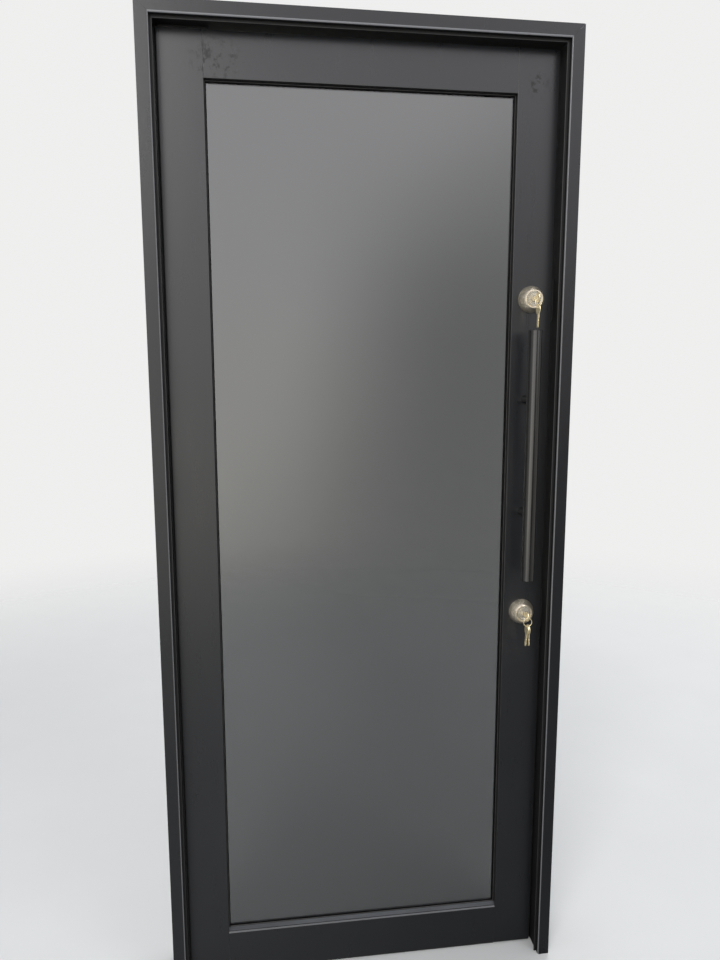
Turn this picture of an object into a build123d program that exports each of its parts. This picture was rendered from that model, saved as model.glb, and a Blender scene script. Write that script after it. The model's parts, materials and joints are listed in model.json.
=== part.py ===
"""Glazed swing door of powder coated aluminium, centre pivoted in its three sided frame.

Millimetres. X runs across the door from the hinge side to the lock side, Y from the
outside to the inside, Z up. The origin is on the floor, at mid width and mid thickness.
"""
from build123d import *
import os

# Leaf
LEAF_WIDTH = 900.0
LEAF_HEIGHT = 2258.0
LEAF_THICKNESS = 45.0
FLOOR_GAP = 6.0
STILE_WIDTH = 97.5
TOP_RAIL_WIDTH = 97.0
BOTTOM_RAIL_WIDTH = 106.0
LEAF_WALL = 2.5
EDGE_RADIUS = 1.5
NOSE_RADIUS = 0.8
POCKET_DEPTH = 21.5
JOINT_GAP = 0.3

# Frame
FRAME_FACE = 29.0
FRAME_DEPTH = 145.0
FRAME_WALL = 2.5
FRAME_RIB = 2.0
RIB_OFFSET = 31.0
ARRIS_RADIUS = 3.0
SIDE_GAP = 8.0
TOP_GAP = 8.0
NIB_REACH = 6.0
NIB_THICKNESS = 4.0
NIB_SETBACK = 13.0
NIB_ROUND = 1.4
MITRE_GAP = 0.3
CLEAT_LEG = 60.0
CLEAT_THICKNESS = 8.0
CLEAT_SCREW_SETBACK = 15.0

# Frame fixing holes, on the inner side of the reveal
FIXING_RADIUS = 4.0
FIXING_DEPTH = 45.0
JAMB_FIXING_COUNT = 4
FIXING_FROM_FLOOR = 150.0
FIXING_FROM_TOP = 201.0
HEAD_FIXING_OFFSET = 250.0

# Glazing
GLASS_THICKNESS = 12.0
GLASS_COVER = 14.0
GASKET_THICKNESS = 4.5
GASKET_HEIGHT = 8.0
GASKET_SIGHT = 4.0
GASKET_STEP = 2.0
GASKET_ROUND = 1.5
BEAD_WALL = 1.8
SILL_RISE = 6.1
SILL_STEP = 2.0
SILL_EASE = 3.2
BLOCK_LENGTH = 80.0
BLOCK_INSET = 200.0

# Pile seals in the leaf's edges
SEAL_OFFSET = 16.0
SEAL_WIDTH = 4.0
SEAL_BASE_WIDTH = 6.0
SEAL_BASE_THICKNESS = 1.2
GROOVE_LIP = 1.2
GROOVE_DEPTH = 4.2
GROOVE_CARRIER = 6.0
LOCK_SEAL_REACH = 3.0
HINGE_SEAL_REACH = 4.8
TOP_SEAL_REACH = 1.5
BRUSH_REACH = 5.0

# Pivots
PIVOT_SETBACK = 55.0
PIVOT_RADIUS = 7.0
PIVOT_CLEARANCE = 0.05
BUSH_WALL = 3.0
SOCKET_HEIGHT = 30.0
BRACKET_THICKNESS = 4.0
BRACKET_WIDTH = 40.0
BRACKET_NOSE = 30.0
BRACKET_UPSTAND = 44.0
WASHER_RADIUS = 15.0
RUNNING_GAP = 0.3
TOP_PLATE_LENGTH = 110.0
TOP_PLATE_WIDTH = 30.0
TOP_PLATE_THICKNESS = 3.0
TOP_BLOCK_LENGTH = 60.0
TOP_BLOCK_WIDTH = 40.0
TOP_PIN_REACH = 18.0

# Leaf corner joints
SHEAR_BLOCK_LENGTH = 45.0
TIE_ROD_RADIUS = 4.0
TIE_ROD_SETBACK = 44.0
NUT_WIDTH = 13.0
NUT_HEIGHT = 6.5
ROD_TAIL = 3.0

# Pull handles, a back to back pair
HANDLE_RADIUS = 16.0
HANDLE_LENGTH = 600.0
HANDLE_WALL = 1.5
HANDLE_CAP = 3.0
HANDLE_EASE = 1.0
HANDLE_SETBACK = 58.0
HANDLE_HEIGHT = 1334.0
HANDLE_STANDOFF = 55.0
POST_RADIUS = 10.0
POST_SPACING = 276.0
POST_THREAD = 24.0
HANDLE_BOLT_RADIUS = 4.0
SLEEVE_WALL = 3.0

# Locks
KEYS_ABOVE_HANDLE = 4.9
ROSE_BELOW_HANDLE = 65.0
SPARE_KEY_COUNTS = {"upper": 1, "lower": 2}
BACKSET = 51.0
ROSE_RADIUS = 31.5
ROSE_FRONT_RADIUS = 22.0
ROSE_PROJECTION = 24.0
ROSE_WALL = 2.5
ROSE_BULGE = 1.5
ROSE_FOOT = 2.0
ROSE_LAND = 5.0
ROSE_GROOVE = 1.6
ROSE_GROOVE_DEPTH = 3.0
CYLINDER_RADIUS = 17.0
CYLINDER_RIM = 3.5
DISH_DEPTH = 0.8
PLUG_RADIUS = 6.5
FIT = 0.05
CASE_THICKNESS = 18.0
CASE_WALL = 1.5
CASE_TOP = 28.0
CASE_BOTTOM = 16.0
CASE_DEPTH = 72.5
FACEPLATE_WIDTH = 25.0
FACEPLATE_HEIGHT = 100.0
FACEPLATE_THICKNESS = 2.5
BOLT_THROW = 25.0
BOLT_THICKNESS = 14.0
BOLT_HEIGHT = 25.0
BOLT_HEAD = 28.0
HUB_RADIUS = 8.0
CAM_REACH = 17.68
CAM_TIP_RADIUS = 2.5
CAM_THICKNESS = 3.0
TAIL_LOW = 12.0
TAIL_HIGH = 24.0
TAIL_WEB = 6.0
NOTCH_HALF = 3.4
TAILPIECE = (2.0, 6.0)
INNER_ROSE_THICKNESS = 8.0
TURN_HUB_RADIUS = 9.0
TURN_WING = (9.0, 34.0, 16.0)
LOCK_SCREW_OFFSET = 14.0
LOCK_SCREW_RADIUS = 2.0
STRIKE_THICKNESS = 2.0
DUST_BOX_DEPTH = 22.0
DUST_BOX_WALL = 1.0

# Keys
KEY_THICKNESS = 2.2
KEY_BLADE_HEIGHT = 8.4
KEY_BLADE_LENGTH = 31.5
KEY_INSERTED = 22.0
KEY_SHOULDER = 1.4
KEY_BOW_RADIUS = 12.0
KEY_HOLE_RADIUS = 3.5
KEY_HOLE_MARGIN = 2.5
RING_RADII = {"upper": 7.7, "lower": 10.4}
WIRE_RADIUS = 0.9
KEY_FAN = 7.0

# Countersunk screws
SCREW_RADIUS = 2.0
SCREW_HEAD_RADIUS = 4.0
SCREW_HEAD_HEIGHT = 2.0
SCREW_LENGTH = 14.0

# Places that follow from the sizes above
LEAF_EDGE = LEAF_WIDTH / 2
LEAF_FACE = LEAF_THICKNESS / 2
LEAF_BOTTOM = FLOOR_GAP
LEAF_TOP = FLOOR_GAP + LEAF_HEIGHT
REVEAL = LEAF_EDGE + SIDE_GAP
FRAME_SIDE = REVEAL + FRAME_FACE
FRAME_REVEAL_TOP = LEAF_TOP + TOP_GAP
FRAME_TOP = FRAME_REVEAL_TOP + FRAME_FACE
CHAMBER_WIDTH = FRAME_FACE - 2 * FRAME_WALL
STILE_TUBE = STILE_WIDTH - POCKET_DEPTH
STILE_INNER = LEAF_EDGE - STILE_WIDTH
POCKET_FLOOR = LEAF_EDGE - STILE_TUBE
TOP_TUBE = TOP_RAIL_WIDTH - POCKET_DEPTH
BOTTOM_TUBE = BOTTOM_RAIL_WIDTH - POCKET_DEPTH
GLASS_FACE = GLASS_THICKNESS / 2
GASKET_FACE = GLASS_FACE + GASKET_THICKNESS
PIVOT_X = -LEAF_EDGE + PIVOT_SETBACK
HANDLE_X = LEAF_EDGE - HANDLE_SETBACK
LOCK_X = LEAF_EDGE - BACKSET
HANDLE_TOP = HANDLE_HEIGHT + HANDLE_LENGTH / 2
HANDLE_BOTTOM = HANDLE_HEIGHT - HANDLE_LENGTH / 2
POST_HEIGHTS = (HANDLE_HEIGHT - POST_SPACING / 2, HANDLE_HEIGHT + POST_SPACING / 2)
KEY_LENGTH = KEY_BLADE_LENGTH + 2 * KEY_BOW_RADIUS - 1
KEY_HOLE_FROM_TIP = KEY_LENGTH - KEY_HOLE_MARGIN - KEY_HOLE_RADIUS
UPPER_KEY_HANG = 2 * (KEY_HOLE_RADIUS + RING_RADII["upper"] - WIRE_RADIUS) + KEY_HOLE_FROM_TIP
LOCK_HEIGHTS = {
    "upper": HANDLE_TOP + KEYS_ABOVE_HANDLE + UPPER_KEY_HANG,
    "lower": HANDLE_BOTTOM - ROSE_BELOW_HANDLE - ROSE_RADIUS,
}


def block(x, y, z):
    """A box from its low and high values on each axis."""
    spans = (x, y, z)
    return Pos(*[(low + high) / 2 for low, high in spans]) * Box(*[high - low for low, high in spans])


def rect(u, v):
    """A flat rectangle from its low and high values on both axes."""
    return Pos((u[0] + u[1]) / 2, (v[0] + v[1]) / 2) * Rectangle(u[1] - u[0], v[1] - v[0])


def rod(start, direction, radius, length):
    """A round bar from a point along a direction."""
    return extrude(Plane(origin=start, z_dir=direction) * Circle(radius), amount=length)


def run(section, start, into, length):
    """Extrudes a section whose first axis points into the opening and second one indoors."""
    along = Vector(into).cross(Vector(0, 1, 0))
    return extrude(Plane(origin=start, x_dir=into, z_dir=along) * section, amount=length)


def turned(points):
    """Revolves an outline of radius and depth pairs about the lock's axis."""
    return revolve(make_face(Polyline(*points, close=True)), axis=Axis.Y)


def screw(head, direction, length=SCREW_LENGTH, slack=0.0):
    """A countersunk screw with its head flush at a point, or with slack its hole."""
    outline = make_face(Polyline(
        (0, 0), (SCREW_HEAD_RADIUS + slack, 0), (SCREW_RADIUS + slack, SCREW_HEAD_HEIGHT),
        (SCREW_RADIUS + slack, length + slack), (0, length + slack), close=True))
    body = revolve(outline, axis=Axis.Y)
    return Plane(origin=head, z_dir=direction) * Rot(90, 0, 0) * body


# Frame

def frame_section():
    """Hollow frame bar: rounded arrises, two nibs in the reveal and two inner ribs."""
    half = FRAME_DEPTH / 2
    bar = rect((0, FRAME_FACE), (-half, half))
    bar = fillet(bar.vertices().group_by(Axis.X)[-1], ARRIS_RADIUS)
    low, high = FRAME_WALL, FRAME_FACE - FRAME_WALL
    bar -= rect((low, high), (-RIB_OFFSET + FRAME_RIB / 2, RIB_OFFSET - FRAME_RIB / 2))
    for side in (-1, 1):
        ends = sorted((side * (RIB_OFFSET + FRAME_RIB / 2), side * (half - FRAME_WALL)))
        bar -= rect((low, high), ends)
        outer = half - NIB_SETBACK
        ends = sorted((side * outer, side * (outer - NIB_THICKNESS)))
        nib = rect((FRAME_FACE - FRAME_WALL, FRAME_FACE + NIB_REACH), ends)
        bar += fillet(nib.vertices().group_by(Axis.X)[-1], NIB_ROUND)
    return bar


def mitre_cutters():
    """Wedges that leave the jambs below each mitre and the head above it."""
    reach = FRAME_FACE + NIB_REACH + 20
    low, high = (FRAME_SIDE - reach, FRAME_TOP - reach), (FRAME_SIDE + 10, FRAME_TOP + 10)
    cutters = []
    for corner in ((low[0], high[1]), (high[0], low[1])):
        outline = Plane.XZ * make_face(Polyline(low, high, corner, close=True))
        cutters.append(extrude(outline, amount=FRAME_DEPTH, both=True))
    return cutters


def jamb_fixing_heights():
    """Evenly spaced heights from the lowest fixing to the highest one."""
    step = (FRAME_TOP - FIXING_FROM_TOP - FIXING_FROM_FLOOR) / (JAMB_FIXING_COUNT - 1)
    return [FIXING_FROM_FLOOR + index * step for index in range(JAMB_FIXING_COUNT)]


def fixing_holes():
    """Through holes for the screws that hold the frame in its wall."""
    holes = []
    for side in (-1, 1):
        start = side * (FRAME_SIDE + 1)
        for height in jamb_fixing_heights():
            holes.append(rod((start, FIXING_DEPTH, height), (-side, 0, 0), FIXING_RADIUS, FRAME_FACE + 2))
        place = (side * HEAD_FIXING_OFFSET, FIXING_DEPTH, FRAME_TOP + 1)
        holes.append(rod(place, (0, 0, -1), FIXING_RADIUS, FRAME_FACE + 2))
    return holes


def cleat(side, depth_side):
    """An L shaped corner bracket that fills one side chamber at a frame corner."""
    low = RIB_OFFSET + FRAME_RIB / 2 + FIT
    high = FRAME_DEPTH / 2 - FRAME_WALL - FIT
    y = sorted((depth_side * low, depth_side * high))
    out = FRAME_SIDE - FRAME_WALL - FIT
    top = FRAME_TOP - FRAME_WALL - FIT
    upright = block(sorted((side * out, side * (out - CLEAT_THICKNESS))), y, (top - CLEAT_LEG, top))
    level = block(sorted((side * out, side * (out - CLEAT_LEG))), y, (top - CLEAT_THICKNESS, top))
    return upright + level


def cleat_screws(slack=0.0):
    """Screws through the outer walls of the frame into the corner brackets."""
    placed = []
    depth = (RIB_OFFSET + FRAME_DEPTH / 2) / 2
    for side in (-1, 1):
        for y in (-depth, depth):
            down = FRAME_TOP - CLEAT_LEG + CLEAT_SCREW_SETBACK
            along = side * (FRAME_SIDE - CLEAT_LEG + CLEAT_SCREW_SETBACK)
            placed.append(screw((side * FRAME_SIDE, y, down), (-side, 0, 0), 10, slack))
            placed.append(screw((along, y, FRAME_TOP), (0, 0, -1), 10, slack))
    return placed


def bracket_screws(slack=0.0):
    """Screws through the hinge jamb's reveal into the floor bracket's upstand."""
    heights = (BRACKET_THICKNESS + 12, BRACKET_UPSTAND - 10)
    return [screw((-REVEAL, y, z), (-1, 0, 0), 8, slack) for z in heights for y in (-10, 10)]


def top_plate_screws(slack=0.0):
    """Screws through the top pivot's plate into the head."""
    z = FRAME_REVEAL_TOP - TOP_PLATE_THICKNESS
    reach = TOP_PLATE_LENGTH / 2 - 10
    return [screw((PIVOT_X + x, 0, z), (0, 0, 1), 10, slack) for x in (-reach, reach)]


def strike_screws(slack=0.0):
    """Screws through both strike plates into the lock jamb."""
    x = REVEAL - STRIKE_THICKNESS
    reach = FACEPLATE_HEIGHT / 2 - 10
    heights = [z + dz for z in LOCK_HEIGHTS.values() for dz in (-reach, reach)]
    return [screw((x, 0, z), (1, 0, 0), 10, slack) for z in heights]


def strike_plate(height):
    """Flat plate on the lock jamb with the bolt's slot through it."""
    plate = block((REVEAL - STRIKE_THICKNESS, REVEAL), (-FACEPLATE_WIDTH / 2, FACEPLATE_WIDTH / 2),
                  (height - FACEPLATE_HEIGHT / 2, height + FACEPLATE_HEIGHT / 2))
    plate = fillet(plate.edges().filter_by(Axis.X), 3)
    return plate - dust_space(height, 0)


def dust_space(height, wall):
    """The room that a thrown bolt needs in the jamb, or with a wall its box's outside."""
    half_y = BOLT_THICKNESS / 2 + 1 + wall
    half_z = BOLT_HEIGHT / 2 + 1 + wall
    start = REVEAL if wall else REVEAL - STRIKE_THICKNESS - 1
    return block((start, REVEAL + DUST_BOX_DEPTH - DUST_BOX_WALL + wall), (-half_y, half_y),
                 (height - half_z, height + half_z))


def build_frame():
    section = frame_section()
    above, below = mitre_cutters()
    jamb_foot = {-1: (-FRAME_SIDE, 0, 0), 1: (FRAME_SIDE, 0, FRAME_TOP)}
    jambs = {side: run(section, jamb_foot[side], (-side, 0, 0), FRAME_TOP) for side in (-1, 1)}
    head = run(section, (-FRAME_SIDE, 0, FRAME_TOP), (0, 0, -1), 2 * FRAME_SIDE)
    for side in (-1, 1):
        over = Pos(0, 0, -MITRE_GAP / 2) * above
        under = Pos(0, 0, MITRE_GAP / 2) * below
        jambs[side] -= over if side > 0 else mirror(over, Plane.YZ)
        head -= under if side > 0 else mirror(under, Plane.YZ)
    jambs[-1] -= block((-REVEAL - FRAME_WALL, -REVEAL + 1), (-BRACKET_WIDTH / 2, BRACKET_WIDTH / 2),
                       (-1, BRACKET_THICKNESS))
    for height in LOCK_HEIGHTS.values():
        jambs[1] -= dust_space(height, DUST_BOX_WALL)
    head -= rod((PIVOT_X, 0, FRAME_REVEAL_TOP - 1), (0, 0, 1), PIVOT_RADIUS + 0.5, FRAME_WALL + 2)
    pivot_cuts = bracket_screws(FIT)
    jambs[-1] -= fixing_holes() + cleat_screws(FIT) + pivot_cuts
    jambs[1] -= fixing_holes() + cleat_screws(FIT) + strike_screws(FIT)
    head -= fixing_holes() + cleat_screws(FIT) + top_plate_screws(FIT)
    cleats = [cleat(side, depth) - cleat_screws(FIT) for side in (-1, 1) for depth in (-1, 1)]
    strikes = [strike_plate(z) - strike_screws(FIT) for z in LOCK_HEIGHTS.values()]
    boxes = [dust_space(z, DUST_BOX_WALL) - dust_space(z, 0) for z in LOCK_HEIGHTS.values()]
    save("hinge_jamb", jambs[-1])
    save("lock_jamb", jambs[1])
    save("frame_head", head)
    save("corner_cleats", cleats)
    save("strike_plates", strikes)
    save("dust_boxes", boxes)
    save("frame_screws", cleat_screws() + bracket_screws() + top_plate_screws() + strike_screws())


# Pivots

def bush(low):
    """A plain bearing bush in a pivot socket."""
    outside = rod((PIVOT_X, 0, low), (0, 0, 1), PIVOT_RADIUS + BUSH_WALL, SOCKET_HEIGHT)
    bore = rod((PIVOT_X, 0, low - 1), (0, 0, 1), PIVOT_RADIUS + PIVOT_CLEARANCE, SOCKET_HEIGHT + 2)
    return outside - bore


def socket(low):
    """Solid end block in the hinge stile that holds a pivot bush."""
    half = LEAF_FACE - LEAF_WALL - FIT
    body = block((-LEAF_EDGE + GROOVE_CARRIER + FIT, -POCKET_FLOOR - LEAF_WALL - FIT), (-half, half),
                 (low, low + SOCKET_HEIGHT))
    body -= rod((PIVOT_X, 0, low - 1), (0, 0, 1), PIVOT_RADIUS + BUSH_WALL, SOCKET_HEIGHT + 2)
    return body


def socket_screws(slack=0.0):
    """Screws through the hinge edge of the leaf into both pivot sockets."""
    heights = [low + dz for low in (LEAF_BOTTOM, LEAF_TOP - SOCKET_HEIGHT)
               for dz in (SOCKET_HEIGHT / 3, SOCKET_HEIGHT * 2 / 3)]
    return [screw((-LEAF_EDGE, 0, z), (1, 0, 0), SCREW_LENGTH + 6, slack) for z in heights]


def build_pivots():
    inner = -REVEAL - FRAME_WALL
    half = BRACKET_WIDTH / 2
    foot = block((inner - BRACKET_THICKNESS, PIVOT_X + BRACKET_NOSE), (-half, half),
                 (0, BRACKET_THICKNESS))
    foot = fillet(foot.edges().filter_by(Axis.Z).group_by(Axis.X)[-1], half / 2)
    upstand = block((inner - BRACKET_THICKNESS, inner), (-half, half), (0, BRACKET_UPSTAND))
    bracket = foot + upstand - bracket_screws(FIT)
    bracket -= rod((PIVOT_X, 0, -1), (0, 0, 1), PIVOT_RADIUS, BRACKET_THICKNESS + 2)
    pin_top = LEAF_BOTTOM + SOCKET_HEIGHT - 4
    pin = rod((PIVOT_X, 0, 0), (0, 0, 1), PIVOT_RADIUS, pin_top)
    pin = chamfer(pin.edges().group_by(Axis.Z)[-1], 1.5)
    washer_low, washer_high = BRACKET_THICKNESS, LEAF_BOTTOM - RUNNING_GAP
    washer = rod((PIVOT_X, 0, washer_low), (0, 0, 1), WASHER_RADIUS, washer_high - washer_low)
    washer -= rod((PIVOT_X, 0, 0), (0, 0, 1), PIVOT_RADIUS + FIT, LEAF_BOTTOM)
    save("floor_pivot_bracket", bracket)
    save("floor_pivot_pin", pin)
    save("thrust_washer", washer)

    z = FRAME_REVEAL_TOP
    plate = block((PIVOT_X - TOP_PLATE_LENGTH / 2, PIVOT_X + TOP_PLATE_LENGTH / 2),
                  (-TOP_PLATE_WIDTH / 2, TOP_PLATE_WIDTH / 2), (z - TOP_PLATE_THICKNESS, z))
    plate = fillet(plate.edges().filter_by(Axis.Z), 5)
    plate -= top_plate_screws(FIT)
    holder = block((PIVOT_X - TOP_BLOCK_LENGTH / 2, PIVOT_X + TOP_BLOCK_LENGTH / 2),
                   (-TOP_BLOCK_WIDTH / 2, TOP_BLOCK_WIDTH / 2),
                   (z + FRAME_WALL, z + FRAME_FACE - FRAME_WALL - RUNNING_GAP))
    pin_low = LEAF_TOP - TOP_PIN_REACH
    pin_high = z + FRAME_FACE - FRAME_WALL - 2
    hole = rod((PIVOT_X, 0, pin_low), (0, 0, 1), PIVOT_RADIUS + FIT, pin_high - pin_low + 5)
    pin = rod((PIVOT_X, 0, pin_low), (0, 0, 1), PIVOT_RADIUS, pin_high - pin_low)
    pin = chamfer(pin.edges().group_by(Axis.Z)[0], 1.5)
    save("top_pivot_plate", plate - hole)
    save("top_pivot_block", holder - hole)
    save("top_pivot_pin", pin)

    save("bottom_pivot_socket", socket(LEAF_BOTTOM) - socket_screws(FIT))
    save("top_pivot_socket", socket(LEAF_TOP - SOCKET_HEIGHT) - socket_screws(FIT))
    save("pivot_bushes", [bush(LEAF_BOTTOM), bush(LEAF_TOP - SOCKET_HEIGHT)])


# Leaf

def leaf_section(width, deep_nose=True):
    """Leaf bar: box tube with seal grooves on its edge and a glazing leg on the outside."""
    half = LEAF_FACE
    tube = width - POCKET_DEPTH
    bar = rect((0, tube), (-half, half))
    bar = fillet(bar.vertices().group_by(Axis.X)[0], EDGE_RADIUS)
    bar -= rect((LEAF_WALL, tube - LEAF_WALL), (-half + LEAF_WALL, half - LEAF_WALL))
    bar += rect((tube - LEAF_WALL, width), (-half, -half + LEAF_WALL))
    if deep_nose:
        bar += rect((width - LEAF_WALL, width), (-half, -GASKET_FACE))
        bar = fillet(bar.vertices().group_by(Axis.X)[-1].sort_by(Axis.Y)[:1], NOSE_RADIUS)
    else:
        bar += make_face(Polyline((width, -half), (width + SILL_EASE, -half + LEAF_WALL),
                                  (width - 1, -half + LEAF_WALL), (width - 1, -half), close=True))
    groove_half = SEAL_BASE_WIDTH / 2 + 0.25
    for v in (-SEAL_OFFSET, SEAL_OFFSET):
        bar += rect((LEAF_WALL / 2, GROOVE_CARRIER), (v - groove_half - 2, v + groove_half + 2))
        bar -= rect((GROOVE_LIP, GROOVE_DEPTH), (v - groove_half, v + groove_half))
        mouth = SEAL_WIDTH / 2 + FIT
        bar -= rect((-1, GROOVE_LIP + 0.5), (v - mouth, v + mouth))
    return bar


def pile_section(reach):
    """Pile strip: a flat backing in the groove and the pile standing out of it."""
    section = Sketch()
    for v in (-SEAL_OFFSET, SEAL_OFFSET):
        section += rect((GROOVE_LIP, GROOVE_LIP + SEAL_BASE_THICKNESS),
                        (v - SEAL_BASE_WIDTH / 2, v + SEAL_BASE_WIDTH / 2))
        section += rect((-reach, GROOVE_LIP + 0.5), (v - SEAL_WIDTH / 2, v + SEAL_WIDTH / 2))
    return section


def stile(side):
    """One full height stile, its glazing nose cut back where the rails come in."""
    start = {-1: (-LEAF_EDGE, 0, LEAF_BOTTOM), 1: (LEAF_EDGE, 0, LEAF_TOP)}
    body = run(leaf_section(STILE_WIDTH), start[side], (-side, 0, 0), LEAF_HEIGHT)
    x = sorted((side * POCKET_FLOOR, side * (STILE_INNER - 1)))
    for z in ((LEAF_BOTTOM - 1, LEAF_BOTTOM + BOTTOM_RAIL_WIDTH + SILL_EASE),
              (LEAF_TOP - TOP_RAIL_WIDTH, LEAF_TOP + 1)):
        body -= block(x, (-LEAF_FACE + LEAF_WALL, LEAF_FACE), z)
    for rod_z in tie_rod_heights():
        x0 = side * (POCKET_FLOOR - 1)
        body -= rod((x0, 0, rod_z), (side, 0, 0), TIE_ROD_RADIUS + 0.25, LEAF_WALL + 2)
    return body


def rail(width, start, into):
    """A rail between the stiles, its outer wall cut back over the stiles' glazing legs."""
    body = run(leaf_section(width, deep_nose=into[2] < 0), start, into, 2 * POCKET_FLOOR)
    low, high = sorted((start[2], start[2] + into[2] * (width + SILL_EASE + 1)))
    for side in (-1, 1):
        x = sorted((side * (STILE_INNER - JOINT_GAP), side * (POCKET_FLOOR + 1)))
        body -= block(x, (-LEAF_FACE - 1, -LEAF_FACE + LEAF_WALL), (low - 1, high + 1))
    return body


def tie_rod_heights():
    return LEAF_BOTTOM + TIE_ROD_SETBACK, LEAF_TOP - TIE_ROD_SETBACK


def build_leaf_frame():
    stiles = {side: stile(side) for side in (-1, 1)}
    top_rail = rail(TOP_RAIL_WIDTH, (-POCKET_FLOOR, 0, LEAF_TOP), (0, 0, -1))
    bottom_rail = rail(BOTTOM_RAIL_WIDTH, (POCKET_FLOOR, 0, LEAF_BOTTOM), (0, 0, 1))
    stiles[-1] -= socket_screws(FIT)
    stiles[1] -= lock_openings() + faceplate_screws(FIT)
    for height in POST_HEIGHTS:
        stiles[1] -= rod((HANDLE_X, -LEAF_FACE - 1, height), (0, 1, 0), HANDLE_BOLT_RADIUS + 0.2,
                         LEAF_THICKNESS + 2)
    save("hinge_stile", stiles[-1])
    save("lock_stile", stiles[1])
    save("top_rail", top_rail)
    save("bottom_rail", bottom_rail)

    rods, nuts, blocks = [], [], []
    half = LEAF_FACE - LEAF_WALL - FIT
    rod_end = POCKET_FLOOR + LEAF_WALL + NUT_HEIGHT + ROD_TAIL
    block_spans = ((LEAF_BOTTOM + GROOVE_CARRIER, LEAF_BOTTOM + BOTTOM_TUBE - LEAF_WALL),
                   (LEAF_TOP - TOP_TUBE + LEAF_WALL, LEAF_TOP - GROOVE_CARRIER))
    for z, span in zip(tie_rod_heights(), block_spans):
        rods.append(rod((-rod_end, 0, z), (1, 0, 0), TIE_ROD_RADIUS, 2 * rod_end))
        bore = rod((-rod_end, 0, z), (1, 0, 0), TIE_ROD_RADIUS + FIT, 2 * rod_end)
        for side in (-1, 1):
            start = (side * (POCKET_FLOOR + LEAF_WALL), 0, z)
            hexagon = RegularPolygon(NUT_WIDTH / 2, 6, major_radius=False)
            nut = extrude(Plane(origin=start, z_dir=(side, 0, 0)) * hexagon, amount=NUT_HEIGHT)
            nuts.append(nut - bore)
            x = sorted((side * POCKET_FLOOR, side * (POCKET_FLOOR - SHEAR_BLOCK_LENGTH)))
            blocks.append(block(x, (-half, half), (span[0] + FIT, span[1] - FIT)) - bore)
    save("tie_rods", rods)
    save("tie_rod_nuts", nuts)
    save("shear_blocks", blocks)

    cap_high = 5.0
    x = (POCKET_FLOOR + LEAF_WALL + FIT, LEAF_EDGE - GROOVE_CARRIER - FIT)
    save("stile_end_caps", [block(x, (-half, half), (LEAF_BOTTOM, LEAF_BOTTOM + cap_high)),
                            block(x, (-half, half), (LEAF_TOP - cap_high, LEAF_TOP))])


def build_seals():
    hinge_side = run(pile_section(HINGE_SEAL_REACH), (-LEAF_EDGE, 0, LEAF_BOTTOM), (1, 0, 0), LEAF_HEIGHT)
    lock_side = run(pile_section(LOCK_SEAL_REACH), (LEAF_EDGE, 0, LEAF_TOP), (-1, 0, 0), LEAF_HEIGHT)
    top = run(pile_section(TOP_SEAL_REACH), (-POCKET_FLOOR, 0, LEAF_TOP), (0, 0, -1), 2 * POCKET_FLOOR)
    save("edge_seals", [hinge_side, lock_side, top])
    save("bottom_brush", run(pile_section(BRUSH_REACH), (STILE_INNER, 0, LEAF_BOTTOM), (0, 0, 1),
                             2 * STILE_INNER))


# Glazing

def loop(side_inset, low, high, y, margin):
    """A rectangular ring round the glass, from its sight lines out to a margin."""
    x = LEAF_EDGE - side_inset
    outer = block((-x - margin, x + margin), y, (low - margin, high + margin))
    return outer - block((-x, x), (y[0] - 1, y[1] + 1), (low, high))


def gasket(side, bottom_line):
    """Glazing gasket: a deep, rounded foot and a thinner lip that stands further over the glass."""
    lip_y = sorted((side * GLASS_FACE, side * (GLASS_FACE + GASKET_STEP)))
    foot_y = sorted((side * GLASS_FACE, side * GASKET_FACE))
    inset = STILE_WIDTH + GASKET_SIGHT
    low = LEAF_BOTTOM + bottom_line + GASKET_SIGHT
    high = LEAF_TOP - TOP_RAIL_WIDTH - GASKET_SIGHT
    lip = loop(inset, low, high, lip_y, GASKET_HEIGHT)
    foot = loop(inset - GASKET_STEP, low - GASKET_STEP, high + GASKET_STEP, foot_y,
                GASKET_HEIGHT - GASKET_STEP)
    front = foot.faces().sort_by(Axis.Y)[0 if side < 0 else -1]
    foot = foot.fillet(GASKET_ROUND, front.inner_wires()[0].edges())
    return lip + foot


def bead_section(width):
    """Hollow snap-in glazing bead on the inside of the leaf."""
    u = (width - POCKET_DEPTH, width)
    bead = rect(u, (GASKET_FACE, LEAF_FACE))
    bead = fillet(bead.vertices().sort_by(Axis.X).sort_by(Axis.Y)[-1:], EDGE_RADIUS)
    return bead - rect((u[0] + BEAD_WALL, u[1] - BEAD_WALL),
                       (GASKET_FACE + BEAD_WALL, LEAF_FACE - BEAD_WALL))


def sill_section():
    """Bead outside the glass on the bottom rail: a low step, then a slope that sheds the rain."""
    low = BOTTOM_TUBE
    edge = BOTTOM_RAIL_WIDTH + SILL_EASE
    front, back = -LEAF_FACE + LEAF_WALL, -GASKET_FACE
    corners = ((low, front), (low, back), (edge + SILL_RISE, back), (edge + SILL_STEP, front))
    bead = make_face(Polyline(*corners, close=True))
    return bead - offset(bead, amount=-BEAD_WALL)


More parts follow.
